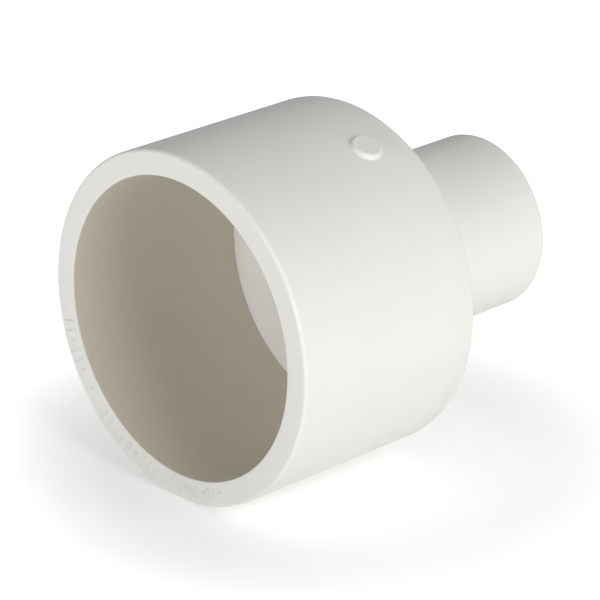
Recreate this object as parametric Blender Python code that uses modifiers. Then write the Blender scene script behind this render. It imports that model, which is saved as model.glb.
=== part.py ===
"""Eccentric pipe reducer: a large plain socket on one side and a small off-centre spigot on the other.

The pipe axis runs along +Y, from the centre of the socket's mouth at the origin. The reducer lies on
its side, so +Z is up. All sizes are in metres.
"""

import math

import bmesh
import bpy

# Socket for a 36.2 mm pipe: its bore narrows a little from the mouth to the root
BARREL_RADIUS = 0.0214
BARREL_LENGTH = 0.0276
MOUTH_RADIUS = 0.0183
ROOT_RADIUS = 0.0181
END_WALL = 0.0019
SHOULDER_ROUNDING = 0.0011
RIM_OUTER_ROUNDING = 0.0004
RIM_INNER_CHAMFER = 0.0003

# Spigot that goes into a 21.5 mm fitting
SPIGOT_RADIUS = 0.0107
SPIGOT_BORE_RADIUS = 0.0085
SPIGOT_LENGTH = 0.0160
SPIGOT_CHAMFER = 0.0005
SPIGOT_OFFSET = 0.0076
SPIGOT_DIRECTION = math.radians(30)

# Raised disc that the moulding gate leaves on the barrel
GATE_RADIUS = 0.0022
GATE_HEIGHT = 0.0005
GATE_DISTANCE = 0.0213
GATE_DIRECTION = math.radians(64.5)

# The moulding is split into sections, a hairline apart
SECTION_GAP = 0.0003
# The end wall is turned as a ring, whose middle the off-centre hole then takes away
MIDDLE_RADIUS = 0.0005
SEGMENTS = 96
ROUNDING_STEPS = 4

SPIGOT_CENTRE = (
    SPIGOT_OFFSET * math.cos(SPIGOT_DIRECTION),
    SPIGOT_OFFSET * math.sin(SPIGOT_DIRECTION),
)


def clear_scene():
    for obj in list(bpy.data.objects):
        bpy.data.objects.remove(obj, do_unlink=True)


def new_collection(name):
    collection = bpy.data.collections.new(name)
    bpy.context.scene.collection.children.link(collection)
    return collection


def plastic(name, colour, roughness):
    material = bpy.data.materials.new(name)
    material.use_nodes = True
    shader = material.node_tree.nodes["Principled BSDF"]
    shader.inputs["Base Color"].default_value = (*colour, 1.0)
    shader.inputs["Roughness"].default_value = roughness
    shader.inputs["Metallic"].default_value = 0.0
    return material


def quarter_round(centre_radius, centre_height, rounding, start, end):
    """Points of an arc in the profile's plane, from one angle to another in degrees."""
    points = []
    for step in range(ROUNDING_STEPS + 1):
        angle = math.radians(start + (end - start) * step / ROUNDING_STEPS)
        points.append(
            (centre_radius + rounding * math.cos(angle), centre_height + rounding * math.sin(angle))
        )
    return points


def turned(name, profile, centre, material, collection):
    """A ring from a closed profile of (radius, distance along the pipe), which runs down its outer side."""
    mesh = bpy.data.meshes.new(name)
    count = len(profile)
    points = [(radius, 0.0, along) for radius, along in profile]
    mesh.from_pydata(points, [(i, (i + 1) % count) for i in range(count)], [])
    obj = bpy.data.objects.new(name, mesh)
    collection.objects.link(obj)
    obj.location = (centre[0], 0.0, centre[1])
    obj.rotation_euler = (-math.pi / 2, 0.0, 0.0)
    mesh.materials.append(material)
    screw = obj.modifiers.new("Turn", "SCREW")
    screw.axis = "Z"
    screw.steps = SEGMENTS
    screw.render_steps = SEGMENTS
    screw.use_merge_vertices = True
    screw.merge_threshold = 0.000001
    screw.use_smooth_shade = True
    return obj


def disc(name, radius, depth, location, rotation, collection):
    """A plain cylinder as its own object."""
    mesh = bpy.data.meshes.new(name)
    shape = bmesh.new()
    bmesh.ops.create_cone(
        shape, cap_ends=True, segments=SEGMENTS // 2, radius1=radius, radius2=radius, depth=depth
    )
    shape.to_mesh(mesh)
    shape.free()
    obj = bpy.data.objects.new(name, mesh)
    obj.location = location
    obj.rotation_euler = rotation
    collection.objects.link(obj)
    return obj


def as_helper(obj):
    obj.hide_render = True
    obj.display_type = "WIRE"


def add_boolean(obj, other, operation):
    modifier = obj.modifiers.new(other.name, "BOOLEAN")
    modifier.operation = operation
    modifier.object = other


def socket_barrel(parts, cutters, material):
    """The socket's tube, with its flat rim, eased edges and the raised gate disc."""
    root = BARREL_LENGTH - END_WALL - SECTION_GAP
    profile = [
        (BARREL_RADIUS, root),
        *quarter_round(
            BARREL_RADIUS - RIM_OUTER_ROUNDING, RIM_OUTER_ROUNDING, RIM_OUTER_ROUNDING, 0, -90
        ),
        (MOUTH_RADIUS + RIM_INNER_CHAMFER, 0.0),
        (MOUTH_RADIUS, RIM_INNER_CHAMFER),
        (ROOT_RADIUS, root),
    ]
    barrel = turned("socket_barrel", profile, (0.0, 0.0), material, parts)
    sunk = GATE_HEIGHT * 3
    middle = BARREL_RADIUS + GATE_HEIGHT - (GATE_HEIGHT + sunk) / 2
    gate = disc(
        "gate_disc",
        GATE_RADIUS,
        GATE_HEIGHT + sunk,
        (middle * math.cos(GATE_DIRECTION), GATE_DISTANCE, middle * math.sin(GATE_DIRECTION)),
        (0.0, math.pi / 2 - GATE_DIRECTION, 0.0),
        cutters,
    )
    as_helper(gate)
    add_boolean(barrel, gate, "UNION")


def end_wall(parts, cutters, material):
    """The flat wall that closes the socket, with its rounded shoulder and the off-centre hole."""
    inner_face = BARREL_LENGTH - END_WALL
    profile = [
        (MIDDLE_RADIUS, BARREL_LENGTH),
        *quarter_round(
            BARREL_RADIUS - SHOULDER_ROUNDING,
            BARREL_LENGTH - SHOULDER_ROUNDING,
            SHOULDER_ROUNDING,
            90,
            0,
        ),
        (BARREL_RADIUS, inner_face),
        (MIDDLE_RADIUS, inner_face),
    ]
    wall = turned("end_wall", profile, (0.0, 0.0), material, parts)
    hole = disc(
        "end_wall_hole",
        SPIGOT_BORE_RADIUS,
        END_WALL * 4,
        (SPIGOT_CENTRE[0], BARREL_LENGTH, SPIGOT_CENTRE[1]),
        (math.pi / 2, 0.0, 0.0),
        cutters,
    )
    as_helper(hole)
    add_boolean(wall, hole, "DIFFERENCE")


def spigot_tube(parts, material):
    """The small tube, chamfered at its outer end."""
    base = BARREL_LENGTH + SECTION_GAP
    tip = BARREL_LENGTH + SPIGOT_LENGTH
    profile = [
        (SPIGOT_BORE_RADIUS, tip),
        (SPIGOT_RADIUS - SPIGOT_CHAMFER, tip),
        (SPIGOT_RADIUS, tip - SPIGOT_CHAMFER),
        (SPIGOT_RADIUS, base),
        (SPIGOT_BORE_RADIUS, base),
    ]
    turned("spigot_tube", profile, SPIGOT_CENTRE, material, parts)


def main():
    clear_scene()
    parts = new_collection("eccentric_reducer")
    cutters = new_collection("cutters")
    barrel_plastic = plastic("White plastic barrel", (0.80, 0.79, 0.76), 0.38)
    wall_plastic = plastic("White plastic end wall", (0.78, 0.77, 0.74), 0.40)
    spigot_plastic = plastic("White plastic spigot", (0.81, 0.80, 0.77), 0.36)
    socket_barrel(parts, cutters, barrel_plastic)
    end_wall(parts, cutters, wall_plastic)
    spigot_tube(parts, spigot_plastic)


main()
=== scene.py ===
"""Eccentric pipe reducer in moulded white PVC-U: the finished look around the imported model."""

import math

import bmesh
import bpy
from bpy.props import FloatProperty, FloatVectorProperty, IntProperty, PointerProperty
from mathutils import Matrix, Vector


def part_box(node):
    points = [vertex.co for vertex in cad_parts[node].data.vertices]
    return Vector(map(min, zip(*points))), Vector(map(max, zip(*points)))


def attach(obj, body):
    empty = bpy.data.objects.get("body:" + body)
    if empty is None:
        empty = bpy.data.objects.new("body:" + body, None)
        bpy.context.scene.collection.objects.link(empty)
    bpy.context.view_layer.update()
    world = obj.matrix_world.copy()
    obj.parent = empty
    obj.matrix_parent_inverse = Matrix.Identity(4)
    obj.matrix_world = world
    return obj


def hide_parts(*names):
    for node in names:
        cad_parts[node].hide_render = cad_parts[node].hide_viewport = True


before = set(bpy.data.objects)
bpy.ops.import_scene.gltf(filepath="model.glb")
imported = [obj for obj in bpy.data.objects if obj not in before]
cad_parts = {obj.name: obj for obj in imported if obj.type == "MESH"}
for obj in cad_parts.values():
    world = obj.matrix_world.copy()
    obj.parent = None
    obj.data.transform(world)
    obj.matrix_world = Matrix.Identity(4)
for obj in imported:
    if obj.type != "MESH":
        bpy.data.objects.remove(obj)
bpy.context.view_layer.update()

bl_info = {
    "name": "Eccentric Pipe Reducer",
    "version": (1, 0, 0),
    "blender": (4, 5, 0),
    "location": "View3D > Sidebar > Reducer",
    "description": "Models a moulded plastic pipe reducer with an off-centre spigot",
    "category": "Object",
}

BODY = "root"
MM = 0.001
PIPE_AXIS = Vector((0.0, 1.0, 0.0))

# A sharper corner than this, in degrees, keeps a crisp edge
SHARP_EDGE = 35.0

# The gate mark: how deep it is sunk, the share of its radius left at the top, its dish and its lip
GATE_SUNK = 0.5 * MM
GATE_TOP_SHARE = 0.74
GATE_LIP_SHARE = 0.73
GATE_LIP_WIDTH = 0.34 * MM
GATE_DISH_WIDTH = 0.12 * MM
GATE_DISH_DEPTH = 0.02 * MM
GATE_LIP_ROUNDING = 0.16 * MM

# First and last angle of each group of rim marks in degrees, and how many marks it has
MARK_GROUPS = ((194, 212, 6), (219, 219, 1), (229, 259, 9), (267, 291, 9))
MARK_SUNK = 0.1 * MM
DOT_RADIUS = 0.34 * MM
BAR_WIDTH = 0.36 * MM
BAR_LENGTH = 1.5 * MM
MARK_ROUNDING = 0.05 * MM

# The table's glow: the point it is centred on, and how it rises with distance from it, which paints a
# shadow pool round the reducer
SHADOW_POOL_CENTRE = (5.0 * MM, 20.0 * MM, -21.4 * MM)
SHADOW_POOL_INNER_RADIUS = 24.0 * MM
SHADOW_POOL_OUTER_RADIUS = 60.0 * MM
GLOW_IN_SHADOW_POOL = 0.3
GLOW_MOST = 0.95
GLOW_SHARE_ON_REDUCER = 0.35

# Name, azimuth and elevation in degrees, size in metres and power in watts
SOFTBOXES = (
    ("Mouth softbox", 4.0, 7.0, 0.35, 2.6),
    ("Side softbox", 92.0, 26.0, 0.6, 4.5),
    ("Back fill", 215.0, 35.0, 0.8, 0.8),
)
LIGHT_DISTANCE_MM = 900
ROOM_LIGHT = 0.23
TABLE_HALF_WIDTH = 3.0

CAMERA_AIM = Vector((8.84, 11.17, 3.18)) * MM
CAMERA_AZIMUTH = 46.2
CAMERA_ELEVATION = 22.6
CAMERA_DISTANCE = 390.9 * MM
CAMERA_LENS_MM = 204.0
SENSOR_WIDTH_MM = 36.0

WALL_LOW, WALL_HIGH = (Vector(corner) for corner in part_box("end_wall"))
SPIGOT_LOW, SPIGOT_HIGH = (Vector(corner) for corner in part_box("spigot_tube"))
SPIGOT_MIDDLE = (SPIGOT_LOW + SPIGOT_HIGH) / 2


def linear(hex_colour):
    """Linear red, green and blue from an sRGB hex colour."""
    channels = [int(hex_colour[i : i + 2], 16) / 255 for i in (1, 3, 5)]
    return tuple(c / 12.92 if c <= 0.04045 else ((c + 0.055) / 1.055) ** 2.4 for c in channels)


class ReducerSizes(bpy.types.PropertyGroup):
    """Sizes of the reducer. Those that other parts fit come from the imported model."""

    barrel_radius: FloatProperty(
        name="Barrel Radius",
        description="Outside radius of the socket",
        default=WALL_HIGH.x,
        unit="LENGTH",
    )
    barrel_length: FloatProperty(
        name="Barrel Length",
        description="From the rim to the shoulder",
        default=WALL_HIGH.y,
        unit="LENGTH",
    )
    wall_start: FloatProperty(
        name="Socket Depth",
        description="From the rim to the end wall",
        default=WALL_LOW.y,
        unit="LENGTH",
    )
    mouth_radius: FloatProperty(
        name="Mouth Radius",
        description="Bore radius at the mouth",
        default=18.3 * MM,
        unit="LENGTH",
    )
    root_radius: FloatProperty(
        name="Root Radius",
        description="Bore radius at the end wall",
        default=18.1 * MM,
        unit="LENGTH",
    )
    rim_rounding: FloatProperty(
        name="Rim Rounding",
        description="Radius on the rim's outer edge",
        default=0.4 * MM,
        unit="LENGTH",
    )
    mouth_chamfer: FloatProperty(
        name="Mouth Chamfer",
        description="Width of the lead-in at the mouth",
        default=0.3 * MM,
        unit="LENGTH",
    )
    shoulder_rounding: FloatProperty(
        name="Shoulder Rounding",
        description="Radius on the far outer corner",
        default=1.1 * MM,
        unit="LENGTH",
    )
    spigot_radius: FloatProperty(
        name="Spigot Radius",
        description="Outside radius of the spigot",
        default=(SPIGOT_HIGH.x - SPIGOT_LOW.x) / 2,
        unit="LENGTH",
    )
    spigot_bore: FloatProperty(
        name="Spigot Bore",
        description="Inside radius of the spigot",
        default=8.5 * MM,
        unit="LENGTH",
    )
    spigot_tip: FloatProperty(
        name="Spigot Tip",
        description="From the rim to the spigot's end",
        default=SPIGOT_HIGH.y,
        unit="LENGTH",
    )
    spigot_chamfer: FloatProperty(
        name="Spigot Chamfer",
        description="Lead-in on the spigot's end",
        default=0.5 * MM,
        unit="LENGTH",
    )
    spigot_fillet: FloatProperty(
        name="Spigot Fillet",
        description="Fillet where spigot meets shoulder",
        default=0.6 * MM,
        unit="LENGTH",
    )
    gate_radius: FloatProperty(
        name="Gate Radius",
        description="Radius of the raised gate mark",
        default=2.3 * MM,
        unit="LENGTH",
    )
    gate_height: FloatProperty(
        name="Gate Height",
        description="How far the gate mark stands proud",
        default=0.5 * MM,
        unit="LENGTH",
    )
    gate_distance: FloatProperty(
        name="Gate Distance",
        description="From the rim to the gate mark",
        default=21.3 * MM,
        unit="LENGTH",
    )
    gate_direction: FloatProperty(
        name="Gate Direction",
        description="Angle of the gate mark round the pipe",
        default=math.radians(64.5),
        subtype="ANGLE",
    )
    mark_height: FloatProperty(
        name="Mark Height",
        description="How far the rim's marks stand proud",
        default=0.16 * MM,
        unit="LENGTH",
    )
    round_steps: IntProperty(
        name="Steps", description="Number of sides of the round shapes", default=256, min=32
    )


class ReducerFinish(bpy.types.PropertyGroup):
    """Colours of the plastic and of the table."""

    outside: FloatVectorProperty(
        name="Outside",
        description="Moulded outer surface",
        subtype="COLOR",
        default=linear("#F1F0EB"),
    )
    # Darker and warmer than the outside: painted shade inside the bores
    bore: FloatVectorProperty(
        name="Bore",
        description="Surface left by the core pin",
        subtype="COLOR",
        default=linear("#DDD7CA"),
    )
    # Brighter than the outside: painted light on the face inside the socket
    end_face: FloatVectorProperty(
        name="End Face",
        description="Face inside the socket",
        subtype="COLOR",
        default=linear("#FAF9F5"),
    )
    table: FloatVectorProperty(
        name="Table", description="Lit acrylic table with painted shadow pool", subtype="COLOR", default=linear("#FBFBFB")
    )


def add_node(tree, kind, settings=None, inputs=None):
    """Adds a node with its settings, and links or sets its inputs."""
    node = tree.nodes.new(kind)
    for name, value in (settings or {}).items():
        setattr(node, name, value)
    for name, value in (inputs or {}).items():
        if isinstance(value, bpy.types.NodeSocket):
            tree.links.new(value, node.inputs[name])
        else:
            node.inputs[name].default_value = value
    return node


def per_metre(millimetres):
    """Scale of a pattern whose features are this far apart."""
    return 1.0 / (millimetres * MM)


def plastic_material(name, colour, roughness, stretch, grain_mm, grain_depth_mm):
    """PVC-U, injection moulded: off-white and faintly cloudy, satin, with a fine grain from the steel."""
    material = bpy.data.materials.get(name) or bpy.data.materials.new(name)
    material.use_nodes = True
    tree = material.node_tree
    tree.nodes.clear()
    place = add_node(tree, "ShaderNodeTexCoord").outputs["Object"]
    along = add_node(
        tree, "ShaderNodeMapping", inputs={"Vector": place, "Scale": (1.0, stretch, 1.0)}
    ).outputs["Vector"]
    # Slow clouding of the filler in the melt, a few millimetres across
    cloud = add_node(
        tree,
        "ShaderNodeTexNoise",
        inputs={"Vector": along, "Scale": per_metre(7.0), "Detail": 4.0, "Roughness": 0.55},
    ).outputs["Fac"]
    # Grain of the steel, drawn a little coarser than real so that it shows
    grain = add_node(
        tree,
        "ShaderNodeTexNoise",
        inputs={"Vector": along, "Scale": per_metre(grain_mm), "Detail": 3.0, "Roughness": 0.6},
    ).outputs["Fac"]
    tint = add_node(tree, "ShaderNodeMixRGB", inputs={"Fac": cloud})
    tint.inputs["Color1"].default_value = (*[c * 0.975 for c in colour], 1.0)
    tint.inputs["Color2"].default_value = (*[min(1.0, c * 1.02) for c in colour], 1.0)
    gloss = add_node(
        tree,
        "ShaderNodeMapRange",
        inputs={"Value": grain, "To Min": roughness - 0.05, "To Max": roughness + 0.05},
    ).outputs["Result"]
    bump = add_node(
        tree,
        "ShaderNodeBump",
        inputs={"Height": grain, "Strength": 1.0, "Distance": grain_depth_mm * MM},
    ).outputs["Normal"]
    shader = add_node(
        tree,
        "ShaderNodeBsdfPrincipled",
        {"subsurface_method": "RANDOM_WALK"},
        {
            "Base Color": tint.outputs["Color"],
            "Roughness": gloss,
            "Normal": bump,
            "IOR": 1.53,
            "Subsurface Weight": 0.12,
            "Subsurface Radius": (1.0, 0.95, 0.85),
            "Subsurface Scale": 0.9 * MM,
        },
    )
    add_node(tree, "ShaderNodeOutputMaterial", inputs={"Surface": shader.outputs["BSDF"]})
    return material


def outside_plastic():
    """The outer faces, which the cavity's satin steel leaves with a fine even grain."""
    colour = bpy.context.scene.reducer_finish.outside
    return plastic_material("PVC-U moulded satin", colour, 0.42, 1.0, 0.45, 0.012)


def bore_plastic():
    """The bore's faces, in a darker, warmer colour that is painted shade, with the grain that the core
    pin drags along the pipe as it leaves.
    """
    colour = bpy.context.scene.reducer_finish.bore
    return plastic_material("PVC-U bore with painted shade", colour, 0.5, 0.12, 0.6, 0.014)


def end_face_plastic():
    """The face inside the socket, in a brighter colour that is painted light, with the fine grain of the
    core pin's polished end.
    """
    colour = bpy.context.scene.reducer_finish.end_face
    return plastic_material("PVC-U end face with painted light", colour, 0.45, 1.0, 0.5, 0.008)


def table_material():
    """Acrylic sheet lit from below, whose glow is lower round the reducer as a painted shadow pool."""
    material = bpy.data.materials.get("Lit acrylic table with painted shadow pool") or bpy.data.materials.new("Lit acrylic table with painted shadow pool")
    material.use_nodes = True
    tree = material.node_tree
    tree.nodes.clear()
    colour = bpy.context.scene.reducer_finish.table
    place = add_node(tree, "ShaderNodeTexCoord").outputs["Object"]
    haze = add_node(
        tree, "ShaderNodeTexNoise", inputs={"Vector": place, "Scale": per_metre(90.0), "Detail": 2.0}
    ).outputs["Fac"]
    gloss = add_node(
        tree, "ShaderNodeMapRange", inputs={"Value": haze, "To Min": 0.6, "To Max": 0.7}
    ).outputs["Result"]
    # Painted shadow: the glow is least round the reducer and rises away from it, a shadow pool painted
    # into the sheet
    from_middle = add_node(
        tree,
        "ShaderNodeVectorMath",
        {"operation": "DISTANCE"},
        {0: place, 1: SHADOW_POOL_CENTRE},
    ).outputs["Value"]
    glow_with_shadow_pool = add_node(
        tree,
        "ShaderNodeMapRange",
        {"interpolation_type": "SMOOTHSTEP"},
        {
            "Value": from_middle,
            "From Min": SHADOW_POOL_INNER_RADIUS,
            "From Max": SHADOW_POOL_OUTER_RADIUS,
            "To Min": GLOW_IN_SHADOW_POOL,
            "To Max": GLOW_MOST,
        },
    ).outputs["Result"]
    # The camera sees the whole glow, and the reducer is lit by a share of it
    seen = add_node(tree, "ShaderNodeLightPath").outputs["Is Camera Ray"]
    share = add_node(
        tree,
        "ShaderNodeMapRange",
        inputs={"Value": seen, "To Min": GLOW_SHARE_ON_REDUCER, "To Max": 1.0},
    ).outputs["Result"]
    strength = add_node(
        tree, "ShaderNodeMath", {"operation": "MULTIPLY"}, {0: glow_with_shadow_pool, 1: share}
    ).outputs["Value"]
    shader = add_node(
        tree,
        "ShaderNodeBsdfPrincipled",
        inputs={
            "Base Color": (*colour, 1.0),
            "Roughness": gloss,
            "Emission Color": (1.0, 1.0, 1.0, 1.0),
            "Emission Strength": strength,
        },
    )
    add_node(tree, "ShaderNodeOutputMaterial", inputs={"Surface": shader.outputs["BSDF"]})
    return material


def turned(profile, centre, steps):
    """A closed ring spun round the pipe's direction from a closed profile of (radius, distance)."""
    shape = bmesh.new()
    points = [shape.verts.new(centre + Vector((radius, along, 0.0))) for radius, along in profile]
    edges = [shape.edges.new((points[i - 1], points[i])) for i in range(len(points))]
    bmesh.ops.spin(
        shape,
        geom=points + edges,
        cent=centre,
        axis=PIPE_AXIS,
        angle=math.tau,
        steps=steps,
        use_merge=True,
    )
    bmesh.ops.remove_doubles(shape, verts=shape.verts, dist=0.001 * MM)
    return shape


def stacked(rings, steps):
    """A closed ring of faces between circles of (centre, radius, distance), which may be off-centre."""
    shape = bmesh.new()
    circles = []
    for centre, radius, along in rings:
        circle = []
        for step in range(steps):
            angle = math.tau * step / steps
            point = centre + round_wall_direction(angle) * radius + PIPE_AXIS * along
            circle.append(shape.verts.new(point))
        circles.append(circle)
    for i, circle in enumerate(circles):
        before = circles[i - 1]
        for step in range(steps):
            shape.faces.new((before[step - 1], before[step], circle[step], circle[step - 1]))
    return shape


def quarter_turn(steps):
    """Angles from nought to a right angle."""
    return [math.pi / 2 * step / steps for step in range(steps + 1)]


def ring_edges(shape, centre, radius, along):
    """The edges of the circle at this radius and distance along the pipe."""

    def on_ring(vert):
        offset = vert.co - centre
        across = math.hypot(offset.x, offset.z)
        return abs(across - radius) < 0.01 * MM and abs(vert.co.y - along) < 0.01 * MM

    return [edge for edge in shape.edges if all(on_ring(vert) for vert in edge.verts)]


def ease(shape, centre, radius, along, width, segments):
    """Rounds the circular edge at this radius and distance, or chamfers it with one segment."""
    bmesh.ops.bevel(
        shape,
        geom=ring_edges(shape, centre, radius, along),
        offset=width,
        offset_type="OFFSET",
        affect="EDGES",
        segments=segments,
        profile=0.5,
        material=-1,
    )


def finish_piece(shape, name, materials, replaced=(), second_tone_faces=None):
    """Turns the mesh into a named piece that rides on the body.

    Faces that pass the second test take the second material, which is painted shade in the bores and
    painted light on the socket's end face.
    """
    bmesh.ops.recalc_face_normals(shape, faces=shape.faces)
    for face in shape.faces:
        face.smooth = True
        if second_tone_faces and second_tone_faces(face):
            face.material_index = 1
    mesh = bpy.data.meshes.new(name)
    shape.to_mesh(mesh)
    shape.free()
    mesh.set_sharp_from_angle(angle=math.radians(SHARP_EDGE))
    for material in materials:
        mesh.materials.append(material)
    piece = bpy.data.objects.new(name, mesh)
    bpy.context.scene.collection.objects.link(piece)
    shading = piece.modifiers.new("Flat faces shade flat", "WEIGHTED_NORMAL")
    shading.keep_sharp = True
    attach(piece, BODY)
    if replaced:
        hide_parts(*replaced)
    return piece


def facing_axis(centre):
    """A test for the faces of a bore: those that look towards its own centre line."""

    def test(face):
        outward = face.calc_center_median() - centre
        outward.y = 0.0
        return face.normal.dot(outward.normalized()) < -0.5

    return test


def spigot_centre():
    return Vector((SPIGOT_MIDDLE.x, 0.0, SPIGOT_MIDDLE.z))


def round_wall_direction(angle):
    """The direction across the pipe at this angle from +X towards +Z."""
    return Vector((math.cos(angle), 0.0, math.sin(angle)))


class REDUCER_OT_barrel(bpy.types.Operator):
    """Turn the socket's barrel, with its tapered bore and eased rim"""

    bl_idname = "reducer.barrel"
    bl_label = "Socket Barrel"

    def execute(self, context):
        sizes = context.scene.reducer_sizes
        origin = Vector()
        profile = [
            (sizes.barrel_radius, sizes.wall_start),
            (sizes.barrel_radius, 0.0),
            (sizes.mouth_radius, 0.0),
            (sizes.root_radius, sizes.wall_start),
        ]
        shape = turned(profile, origin, sizes.round_steps)
        ease(shape, origin, sizes.barrel_radius, 0.0, sizes.rim_rounding, 5)
        ease(shape, origin, sizes.mouth_radius, 0.0, sizes.mouth_chamfer, 2)
        finish_piece(
            shape,
            "socket_barrel_moulding",
            [outside_plastic(), bore_plastic()],
            ["socket_barrel"],
            # The bore's faces take the bore colour, which is painted shade
            facing_axis(origin),
        )
        return {"FINISHED"}


class REDUCER_OT_end_wall(bpy.types.Operator):
    """Close the socket with a wall that has an off-centre hole and a rounded shoulder"""

    bl_idname = "reducer.end_wall"
    bl_label = "End Wall"

    def execute(self, context):
        sizes = context.scene.reducer_sizes
        shape = stacked(self.rings(sizes), sizes.round_steps)

        # The faces looking back into the socket take the end face colour, which is painted light
        def inner_face(face):
            return face.normal.y < -0.5

        finish_piece(
            shape,
            "end_wall_moulding",
            [outside_plastic(), end_face_plastic()],
            ["end_wall"],
            inner_face,
        )
        return {"FINISHED"}

    def rings(self, sizes):
        """Circles from the socket's corner out round the shoulder, and back through the hole."""
        axis, hole = Vector(), spigot_centre()
        rounding, easing = sizes.shoulder_rounding, sizes.mouth_chamfer
        found = [(axis, sizes.barrel_radius, sizes.wall_start)]
        for angle in quarter_turn(6):
            radius = sizes.barrel_radius - rounding * (1 - math.cos(angle))
            found.append((axis, radius, sizes.barrel_length - rounding * (1 - math.sin(angle))))
        found.append((hole, sizes.spigot_bore, sizes.barrel_length))
        for angle in quarter_turn(3):
            radius = sizes.spigot_bore + easing * (1 - math.cos(angle))
            found.append((hole, radius, sizes.wall_start + easing * (1 - math.sin(angle))))
        return found


class REDUCER_OT_spigot(bpy.types.Operator):
    """Turn the off-centre spigot, with a fillet at its root and a chamfer at its end"""

    bl_idname = "reducer.spigot"
    bl_label = "Spigot"

    def execute(self, context):
        sizes = context.scene.reducer_sizes
        base = sizes.barrel_length
        fillet = sizes.spigot_fillet
        profile = [
            (sizes.spigot_bore, sizes.spigot_tip),
            (sizes.spigot_radius, sizes.spigot_tip),
        ]
        fillet_steps = 6
        for step in range(fillet_steps + 1):
            angle = math.pi / 2 * step / fillet_steps
            profile.append(
                (
                    sizes.spigot_radius + fillet * (1 - math.cos(angle)),
                    base + fillet * (1 - math.sin(angle)),
                )
            )
        profile.append((sizes.spigot_bore, base))
        centre = spigot_centre()
        shape = turned(profile, centre, sizes.round_steps)
        ease(shape, centre, sizes.spigot_radius, sizes.spigot_tip, sizes.spigot_chamfer, 3)
        ease(shape, centre, sizes.spigot_bore, sizes.spigot_tip, sizes.mouth_chamfer, 2)
        finish_piece(
            shape,
            "spigot_moulding",
            [outside_plastic(), bore_plastic()],
            ["spigot_tube"],
            # The bore's faces take the bore colour, which is painted shade
            facing_axis(centre),
        )
        return {"FINISHED"}


class REDUCER_OT_gate_mark(bpy.types.Operator):
    """Raise the round mark that the gate leaves on the barrel"""

    bl_idname = "reducer.gate_mark"
    bl_label = "Gate Mark"

    def execute(self, context):
        sizes = context.scene.reducer_sizes
        shape = bmesh.new()
        bmesh.ops.create_cone(
            shape,
            cap_ends=True,
            segments=72,
            radius1=sizes.gate_radius,
            radius2=sizes.gate_radius * GATE_TOP_SHARE,
            depth=sizes.gate_height + GATE_SUNK,
        )
        top = max(shape.faces, key=lambda face: face.calc_center_median().z)
        # A shallow dish with a rounded lip, as the cooling plastic draws back from the gate
        bmesh.ops.inset_region(shape, faces=[top], thickness=GATE_LIP_WIDTH, depth=0.0)
        bmesh.ops.inset_region(
            shape, faces=[top], thickness=GATE_DISH_WIDTH, depth=-GATE_DISH_DEPTH
        )
        height = (sizes.gate_height + GATE_SUNK) / 2
        lip = [
            edge
            for edge in shape.edges
            if all(
                abs(vert.co.z - height) < 0.001 * MM
                and vert.co.xy.length > sizes.gate_radius * GATE_LIP_SHARE
                for vert in edge.verts
            )
        ]
        bmesh.ops.bevel(
            shape,
            geom=lip,
            offset=GATE_LIP_ROUNDING,
            offset_type="OFFSET",
            affect="EDGES",
            segments=4,
            profile=0.5,
            material=-1,
        )
        direction = round_wall_direction(sizes.gate_direction)
        turn = direction.to_track_quat("Z", "Y").to_matrix().to_4x4()
        middle = direction * (sizes.barrel_radius + sizes.gate_height - height)
        place = Matrix.Translation(middle + PIPE_AXIS * sizes.gate_distance) @ turn
        bmesh.ops.transform(shape, matrix=place, verts=shape.verts)
        finish_piece(shape, "gate_mark", [outside_plastic()])
        return {"FINISHED"}


class REDUCER_OT_rim_marks(bpy.types.Operator):
    """Raise plain bars and dots on the rim's face"""

    bl_idname = "reducer.rim_marks"
    bl_label = "Rim Marks"

    def execute(self, context):
        sizes = context.scene.reducer_sizes
        shape = bmesh.new()
        middle = (sizes.barrel_radius + sizes.mouth_radius) / 2
        for first, last, count in MARK_GROUPS:
            for i in range(count):
                angle = math.radians(first + (last - first) * i / max(1, count - 1))
                dot = i % 3 == 2 or count == 1
                self.add_mark(shape, sizes, middle, angle, dot)
        finish_piece(shape, "rim_marks", [outside_plastic()])
        return {"FINISHED"}

    def add_mark(self, shape, sizes, radius, angle, dot):
        """One bar that points to the axis, or one round dot."""
        direction = round_wall_direction(angle)
        across = direction.cross(PIPE_AXIS)
        turn = Matrix((across, direction, PIPE_AXIS)).transposed().to_4x4()
        middle = direction * radius - PIPE_AXIS * (sizes.mark_height - MARK_SUNK) / 2
        place = Matrix.Translation(middle) @ turn
        depth = sizes.mark_height + MARK_SUNK
        if dot:
            made = bmesh.ops.create_cone(
                shape,
                cap_ends=True,
                segments=20,
                radius1=DOT_RADIUS,
                radius2=DOT_RADIUS,
                depth=depth,
                matrix=place,
            )
        else:
            size = Matrix.Diagonal((BAR_WIDTH, BAR_LENGTH, depth, 1.0))
            made = bmesh.ops.create_cube(shape, size=1.0, matrix=place @ size)
        edges = {edge for vert in made["verts"] for edge in vert.link_edges}
        bmesh.ops.bevel(
            shape,
            geom=list(edges),
            offset=MARK_ROUNDING,
            offset_type="OFFSET",
            affect="EDGES",
            segments=2,
            profile=0.5,
            material=-1,
        )


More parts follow.
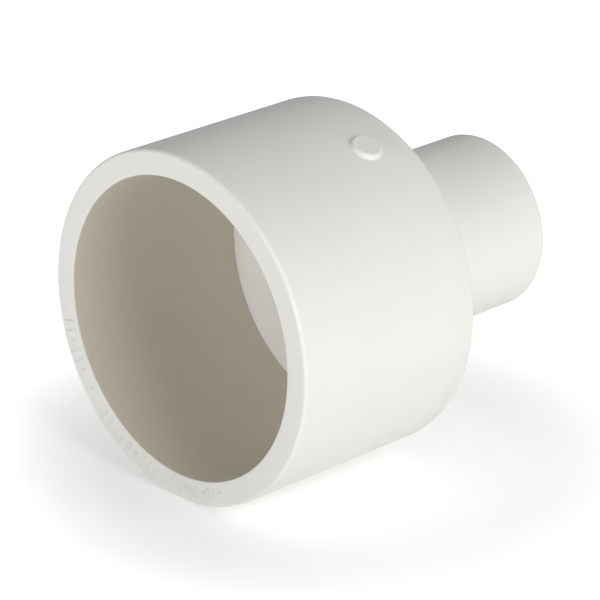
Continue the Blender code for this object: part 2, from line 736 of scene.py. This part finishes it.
class REDUCER_OT_stage(bpy.types.Operator):
    """Set out the lit table, the soft lights and the camera"""

    bl_idname = "reducer.stage"
    bl_label = "Stage"

    def execute(self, context):
        sizes = context.scene.reducer_sizes
        self.add_table(context, -sizes.barrel_radius)
        self.add_world(context)
        for softbox in SOFTBOXES:
            self.add_light(context, *softbox)
        self.add_camera(context)
        context.scene.view_settings.view_transform = "Standard"
        context.scene.view_settings.look = "None"
        return {"FINISHED"}

    def direction(self, azimuth, elevation):
        """Towards a viewer at this azimuth and elevation in degrees."""
        a, e = math.radians(azimuth), math.radians(elevation)
        return Vector((math.sin(a) * math.cos(e), -math.cos(a) * math.cos(e), math.sin(e)))

    def add_table(self, context, height):
        shape = bmesh.new()
        place = Matrix.Translation((0.0, 0.0, height))
        bmesh.ops.create_grid(shape, x_segments=1, y_segments=1, size=TABLE_HALF_WIDTH, matrix=place)
        mesh = bpy.data.meshes.new("table")
        shape.to_mesh(mesh)
        shape.free()
        mesh.materials.append(table_material())
        table = bpy.data.objects.new("table", mesh)
        context.scene.collection.objects.link(table)

    def add_world(self, context):
        world = bpy.data.worlds.new("Soft room")
        world.use_nodes = True
        background = world.node_tree.nodes["Background"]
        background.inputs["Color"].default_value = (1.0, 1.0, 1.0, 1.0)
        # The camera sees a white room, which lights the reducer with less than that
        seen = add_node(world.node_tree, "ShaderNodeLightPath").outputs["Is Camera Ray"]
        strength = add_node(
            world.node_tree, "ShaderNodeMath", {"operation": "MAXIMUM"}, {0: seen, 1: ROOM_LIGHT}
        )
        world.node_tree.links.new(strength.outputs["Value"], background.inputs["Strength"])
        context.scene.world = world

    def add_light(self, context, name, azimuth, elevation, size, power):
        light = bpy.data.lights.new(name, "AREA")
        light.shape = "SQUARE"
        light.size = size
        light.energy = power
        lamp = bpy.data.objects.new(name, light)
        towards = self.direction(azimuth, elevation)
        lamp.location = CAMERA_AIM + towards * LIGHT_DISTANCE_MM * MM
        lamp.rotation_euler = towards.to_track_quat("Z", "Y").to_euler()
        context.scene.collection.objects.link(lamp)

    def add_camera(self, context):
        data = bpy.data.cameras.new("Camera")
        data.lens = CAMERA_LENS_MM
        data.sensor_width = SENSOR_WIDTH_MM
        data.clip_start = 10 * MM
        camera = bpy.data.objects.new("Camera", data)
        towards = self.direction(CAMERA_AZIMUTH, CAMERA_ELEVATION)
        camera.location = CAMERA_AIM + towards * CAMERA_DISTANCE
        camera.rotation_euler = towards.to_track_quat("Z", "Y").to_euler()
        context.scene.collection.objects.link(camera)
        context.scene.camera = camera


PIECE_OPERATORS = (
    REDUCER_OT_barrel,
    REDUCER_OT_end_wall,
    REDUCER_OT_spigot,
    REDUCER_OT_gate_mark,
    REDUCER_OT_rim_marks,
    REDUCER_OT_stage,
)


class REDUCER_PT_panel(bpy.types.Panel):
    """Lists the reducer's pieces and sizes"""

    bl_label = "Pipe Reducer"
    bl_idname = "REDUCER_PT_panel"
    bl_space_type = "VIEW_3D"
    bl_region_type = "UI"
    bl_category = "Reducer"

    def draw(self, context):
        column = self.layout.column(align=True)
        for operator in PIECE_OPERATORS:
            column.operator(operator.bl_idname)
        for group in (context.scene.reducer_sizes, context.scene.reducer_finish):
            for name in group.bl_rna.properties.keys():
                if name not in ("rna_type", "name"):
                    column.prop(group, name)


CLASSES = (ReducerSizes, ReducerFinish, *PIECE_OPERATORS, REDUCER_PT_panel)


def register():
    for item in CLASSES:
        bpy.utils.register_class(item)
    bpy.types.Scene.reducer_sizes = PointerProperty(type=ReducerSizes)
    bpy.types.Scene.reducer_finish = PointerProperty(type=ReducerFinish)


def unregister():
    del bpy.types.Scene.reducer_finish
    del bpy.types.Scene.reducer_sizes
    for item in reversed(CLASSES):
        bpy.utils.unregister_class(item)


def main():
    register()
    bpy.ops.reducer.barrel()
    bpy.ops.reducer.end_wall()
    bpy.ops.reducer.spigot()
    bpy.ops.reducer.gate_mark()
    bpy.ops.reducer.rim_marks()
    bpy.ops.reducer.stage()


if __name__ == "__main__":
    main()
